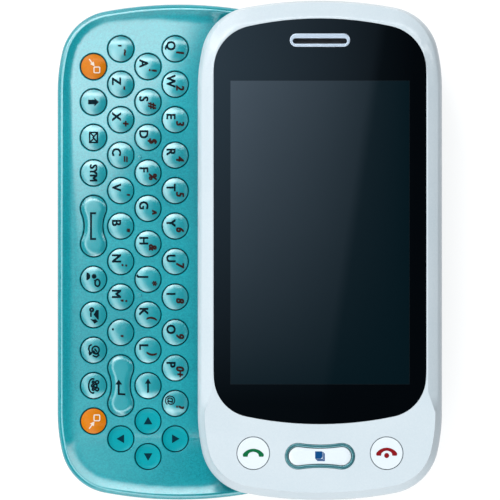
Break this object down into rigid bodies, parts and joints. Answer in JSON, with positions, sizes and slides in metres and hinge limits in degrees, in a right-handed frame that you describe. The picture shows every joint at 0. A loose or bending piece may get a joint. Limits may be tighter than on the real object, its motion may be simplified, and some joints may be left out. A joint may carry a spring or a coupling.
{
  "type": "slider phone",
  "caption": "Side-slider mobile phone, slid open: a glossy touch-screen half on guide rails over a keyboard half with round domed letter keys.",
  "frame": {"origin": "middle of the flat outer face of the battery cover, at the back of the keyboard half", "axes": "+Y towards the earpiece end, +X the way the screen half slides open, +Z out of the display"},
  "size_m": [0.0835, 0.1084, 0.0159],
  "materials": {
    "pearl_white": "pearl gloss",
    "aqua_shell": "metallic gloss",
    "aqua_trim": "gloss",
    "front_key_white": "gloss",
    "silver_aqua_key": "metallic gloss",
    "orange_key": "gloss",
    "turquoise_key": "gloss",
    "window_black": "polished, backed in black",
    "display_glass": "polished, switched off",
    "bright_trim": "bright",
    "battery_can": "wrapped",
    "circuit_board": "solder mask",
    "metal_dome": "film with metal domes",
    "soft_rubber": "matte",
    "steel_plate": "brushed",
    "light_metal": "cast",
    "black_plastic": "matte",
    "flex_film": "film"
  },
  "bodies": {
    "keyboard_half": {"rear_housing": "aqua_shell", "battery_cover": "aqua_shell", "battery": "battery_can", "main_board": "circuit_board", "keyboard_deck": "aqua_shell", "housing_screws": "steel_plate", "key_dome_sheet": "metal_dome", "key_mat": "soft_rubber", "camera_module": "black_plastic", "camera_lens": "window_black", "loudspeaker": "black_plastic", "vibration_motor": "steel_plate", "card_holder": "steel_plate", "antenna_carrier": "black_plastic", "usb_socket": "steel_plate", "headset_socket": "black_plastic", "slide_base_plate": "steel_plate", "base_plate_screws": "steel_plate", "slide_shoes": "black_plastic", "slide_springs": "steel_plate", "slide_flex_cable": "flex_film"},
    "screen_half": {"slider_rear_cover": "aqua_shell", "slider_screws": "steel_plate", "slide_carriage": "steel_plate", "display_bracket": "light_metal", "display_module": "display_glass", "front_cover": "pearl_white", "touch_window": "window_black", "earpiece_trim": "bright_trim", "earpiece_receiver": "black_plastic", "menu_key_ring": "aqua_trim", "front_key_board": "circuit_board"},
    "letter_keys_q_to_t_body": {"letter_keys_q_to_t": "silver_aqua_key"},
    "letter_keys_y_to_p_body": {"letter_keys_y_to_p": "silver_aqua_key"},
    "letter_keys_a_to_g_body": {"letter_keys_a_to_g": "silver_aqua_key"},
    "letter_keys_h_to_l_body": {"letter_keys_h_to_l": "silver_aqua_key"},
    "letter_keys_z_to_v_body": {"letter_keys_z_to_v": "silver_aqua_key"},
    "letter_keys_b_to_m_body": {"letter_keys_b_to_m": "silver_aqua_key"},
    "left_soft_key_body": {"left_soft_key": "orange_key"},
    "shift_key_body": {"shift_key": "silver_aqua_key"},
    "message_key_body": {"message_key": "silver_aqua_key"},
    "symbol_key_body": {"symbol_key": "silver_aqua_key"},
    "contacts_key_body": {"contacts_key": "silver_aqua_key"},
    "media_key_body": {"media_key": "silver_aqua_key"},
    "share_key_body": {"share_key": "silver_aqua_key"},
    "web_key_body": {"web_key": "silver_aqua_key"},
    "right_soft_key_body": {"right_soft_key": "orange_key"},
    "backspace_key_body": {"backspace_key": "silver_aqua_key"},
    "space_key_body": {"space_key": "silver_aqua_key"},
    "enter_key_body": {"enter_key": "silver_aqua_key"},
    "arrow_up_key_body": {"arrow_up_key": "turquoise_key"},
    "arrow_down_key_body": {"arrow_down_key": "turquoise_key"},
    "arrow_left_key_body": {"arrow_left_key": "turquoise_key"},
    "arrow_right_key_body": {"arrow_right_key": "turquoise_key"},
    "call_key_body": {"call_key": "front_key_white"},
    "end_key_body": {"end_key": "front_key_white"},
    "menu_key_body": {"menu_key": "front_key_white"},
    "camera_key_body": {"camera_key": "aqua_trim"},
    "volume_key_body": {"volume_key": "aqua_trim"}
  },
  "joints": [
    {"name": "screen_slide", "type": "slide", "parent": "keyboard_half", "child": "screen_half", "axis": [-1, 0, 0], "range_m": [0, 0.0305], "deforming": ["slide_springs", "slide_flex_cable"]},
    {"name": "letter_keys_q_to_t_press", "type": "slide", "parent": "keyboard_half", "child": "letter_keys_q_to_t_body", "axis": [0, 0, -1], "range_m": [0, 0.0003], "stiffness_N_per_m": 1500, "deforming": ["key_dome_sheet"]},
    {"name": "letter_keys_y_to_p_press", "type": "slide", "parent": "keyboard_half", "child": "letter_keys_y_to_p_body", "axis": [0, 0, -1], "range_m": [0, 0.0003], "stiffness_N_per_m": 1500, "deforming": ["key_dome_sheet"]},
    {"name": "letter_keys_a_to_g_press", "type": "slide", "parent": "keyboard_half", "child": "letter_keys_a_to_g_body", "axis": [0, 0, -1], "range_m": [0, 0.0003], "stiffness_N_per_m": 1500, "deforming": ["key_dome_sheet"]},
    {"name": "letter_keys_h_to_l_press", "type": "slide", "parent": "keyboard_half", "child": "letter_keys_h_to_l_body", "axis": [0, 0, -1], "range_m": [0, 0.0003], "stiffness_N_per_m": 1500, "deforming": ["key_dome_sheet"]},
    {"name": "letter_keys_z_to_v_press", "type": "slide", "parent": "keyboard_half", "child": "letter_keys_z_to_v_body", "axis": [0, 0, -1], "range_m": [0, 0.0003], "stiffness_N_per_m": 1500, "deforming": ["key_dome_sheet"]},
    {"name": "letter_keys_b_to_m_press", "type": "slide", "parent": "keyboard_half", "child": "letter_keys_b_to_m_body", "axis": [0, 0, -1], "range_m": [0, 0.0003], "stiffness_N_per_m": 1500, "deforming": ["key_dome_sheet"]},
    {"name": "left_soft_key_press", "type": "slide", "parent": "keyboard_half", "child": "left_soft_key_body", "axis": [0, 0, -1], "range_m": [0, 0.0003], "stiffness_N_per_m": 1500, "deforming": ["key_dome_sheet"]},
    {"name": "shift_key_press", "type": "slide", "parent": "keyboard_half", "child": "shift_key_body", "axis": [0, 0, -1], "range_m": [0, 0.0003], "stiffness_N_per_m": 1500, "deforming": ["key_dome_sheet"]},
    {"name": "message_key_press", "type": "slide", "parent": "keyboard_half", "child": "message_key_body", "axis": [0, 0, -1], "range_m": [0, 0.0003], "stiffness_N_per_m": 1500, "deforming": ["key_dome_sheet"]},
    {"name": "symbol_key_press", "type": "slide", "parent": "keyboard_half", "child": "symbol_key_body", "axis": [0, 0, -1], "range_m": [0, 0.0003], "stiffness_N_per_m": 1500, "deforming": ["key_dome_sheet"]},
    {"name": "contacts_key_press", "type": "slide", "parent": "keyboard_half", "child": "contacts_key_body", "axis": [0, 0, -1], "range_m": [0, 0.0003], "stiffness_N_per_m": 1500, "deforming": ["key_dome_sheet"]},
    {"name": "media_key_press", "type": "slide", "parent": "keyboard_half", "child": "media_key_body", "axis": [0, 0, -1], "range_m": [0, 0.0003], "stiffness_N_per_m": 1500, "deforming": ["key_dome_sheet"]},
    {"name": "share_key_press", "type": "slide", "parent": "keyboard_half", "child": "share_key_body", "axis": [0, 0, -1], "range_m": [0, 0.0003], "stiffness_N_per_m": 1500, "deforming": ["key_dome_sheet"]},
    {"name": "web_key_press", "type": "slide", "parent": "keyboard_half", "child": "web_key_body", "axis": [0, 0, -1], "range_m": [0, 0.0003], "stiffness_N_per_m": 1500, "deforming": ["key_dome_sheet"]},
    {"name": "right_soft_key_press", "type": "slide", "parent": "keyboard_half", "child": "right_soft_key_body", "axis": [0, 0, -1], "range_m": [0, 0.0003], "stiffness_N_per_m": 1500, "deforming": ["key_dome_sheet"]},
    {"name": "backspace_key_press", "type": "slide", "parent": "keyboard_half", "child": "backspace_key_body", "axis": [0, 0, -1], "range_m": [0, 0.0003], "stiffness_N_per_m": 1500, "deforming": ["key_dome_sheet"]},
    {"name": "space_key_press", "type": "slide", "parent": "keyboard_half", "child": "space_key_body", "axis": [0, 0, -1], "range_m": [0, 0.0003], "stiffness_N_per_m": 1500, "deforming": ["key_dome_sheet"]},
    {"name": "enter_key_press", "type": "slide", "parent": "keyboard_half", "child": "enter_key_body", "axis": [0, 0, -1], "range_m": [0, 0.0003], "stiffness_N_per_m": 1500, "deforming": ["key_dome_sheet"]},
    {"name": "arrow_up_key_press", "type": "slide", "parent": "keyboard_half", "child": "arrow_up_key_body", "axis": [0, 0, -1], "range_m": [0, 0.0003], "stiffness_N_per_m": 1500, "deforming": ["key_dome_sheet"]},
    {"name": "arrow_down_key_press", "type": "slide", "parent": "keyboard_half", "child": "arrow_down_key_body", "axis": [0, 0, -1], "range_m": [0, 0.0003], "stiffness_N_per_m": 1500, "deforming": ["key_dome_sheet"]},
    {"name": "arrow_left_key_press", "type": "slide", "parent": "keyboard_half", "child": "arrow_left_key_body", "axis": [0, 0, -1], "range_m": [0, 0.0003], "stiffness_N_per_m": 1500, "deforming": ["key_dome_sheet"]},
    {"name": "arrow_right_key_press", "type": "slide", "parent": "keyboard_half", "child": "arrow_right_key_body", "axis": [0, 0, -1], "range_m": [0, 0.0003], "stiffness_N_per_m": 1500, "deforming": ["key_dome_sheet"]},
    {"name": "call_key_press", "type": "slide", "parent": "screen_half", "child": "call_key_body", "axis": [0, 0, -1], "range_m": [0, 0.0003], "stiffness_N_per_m": 1500},
    {"name": "end_key_press", "type": "slide", "parent": "screen_half", "child": "end_key_body", "axis": [0, 0, -1], "range_m": [0, 0.0003], "stiffness_N_per_m": 1500},
    {"name": "menu_key_press", "type": "slide", "parent": "screen_half", "child": "menu_key_body", "axis": [0, 0, -1], "range_m": [0, 0.0003], "stiffness_N_per_m": 1500},
    {"name": "camera_key_press", "type": "slide", "parent": "keyboard_half", "child": "camera_key_body", "axis": [-1, 0, 0], "range_m": [0, 0.0003], "stiffness_N_per_m": 1500},
    {"name": "volume_key_rock", "type": "hinge", "parent": "keyboard_half", "child": "volume_key_body", "pos_m": [0.02434, 0.012, 0.00375], "axis": [0, 0, 1], "range_deg": [-1.5, 1.5], "stiffness_Nm_per_rad": 0.1}
  ]
}
